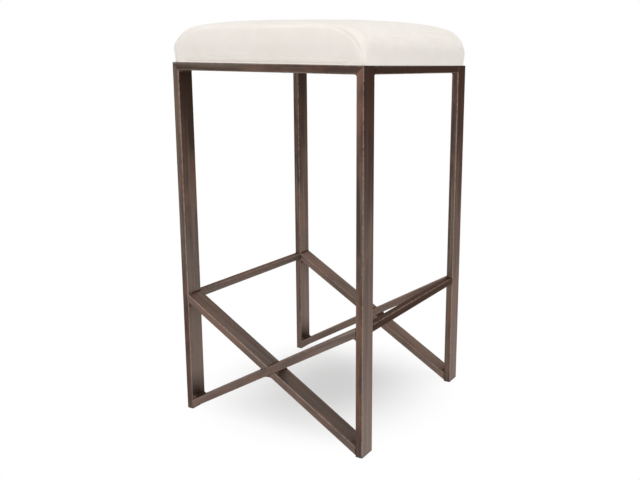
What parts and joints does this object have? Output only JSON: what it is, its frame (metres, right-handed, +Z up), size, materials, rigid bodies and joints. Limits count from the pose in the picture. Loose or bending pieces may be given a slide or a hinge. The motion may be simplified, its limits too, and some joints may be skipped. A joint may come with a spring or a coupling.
{
  "type": "counter stool",
  "caption": "Backless counter stool with a square welded flat-tube frame, crossed braces front and back, side stretchers and a crowned upholstered seat pad.",
  "frame": {"origin": "on the floor under the middle of the stool", "axes": "+Z up, the front face with its crossed brace towards -Y, +X to the right seen from the front"},
  "size_m": [0.366, 0.366, 0.672],
  "materials": {
    "bronzed_steel": "satin",
    "plug_plastic": "matte",
    "plywood": "matte",
    "foam": "matte",
    "wadding": "matte",
    "cream_fabric": "matte",
    "dust_cloth": "matte",
    "zinc_steel": "satin"
  },
  "bodies": {
    "root": {"front_left_leg": "bronzed_steel", "front_right_leg": "bronzed_steel", "front_top_rail": "bronzed_steel", "front_brace_long": "bronzed_steel", "front_brace_upper": "bronzed_steel", "front_brace_lower": "bronzed_steel", "rear_left_leg": "bronzed_steel", "rear_right_leg": "bronzed_steel", "rear_top_rail": "bronzed_steel", "rear_brace_long": "bronzed_steel", "rear_brace_upper": "bronzed_steel", "rear_brace_lower": "bronzed_steel", "left_top_rail": "bronzed_steel", "left_stretcher": "bronzed_steel", "right_top_rail": "bronzed_steel", "right_stretcher": "bronzed_steel", "front_left_foot_plug": "plug_plastic", "front_right_foot_plug": "plug_plastic", "rear_left_foot_plug": "plug_plastic", "rear_right_foot_plug": "plug_plastic", "seat_board": "plywood", "seat_foam": "foam", "seat_wadding": "wadding", "seat_cover": "cream_fabric", "dust_cover": "dust_cloth", "seat_staples": "zinc_steel", "seat_bolts": "zinc_steel", "bolt_washers": "zinc_steel", "seat_tee_nuts": "zinc_steel"}
  },
  "joints": []
}
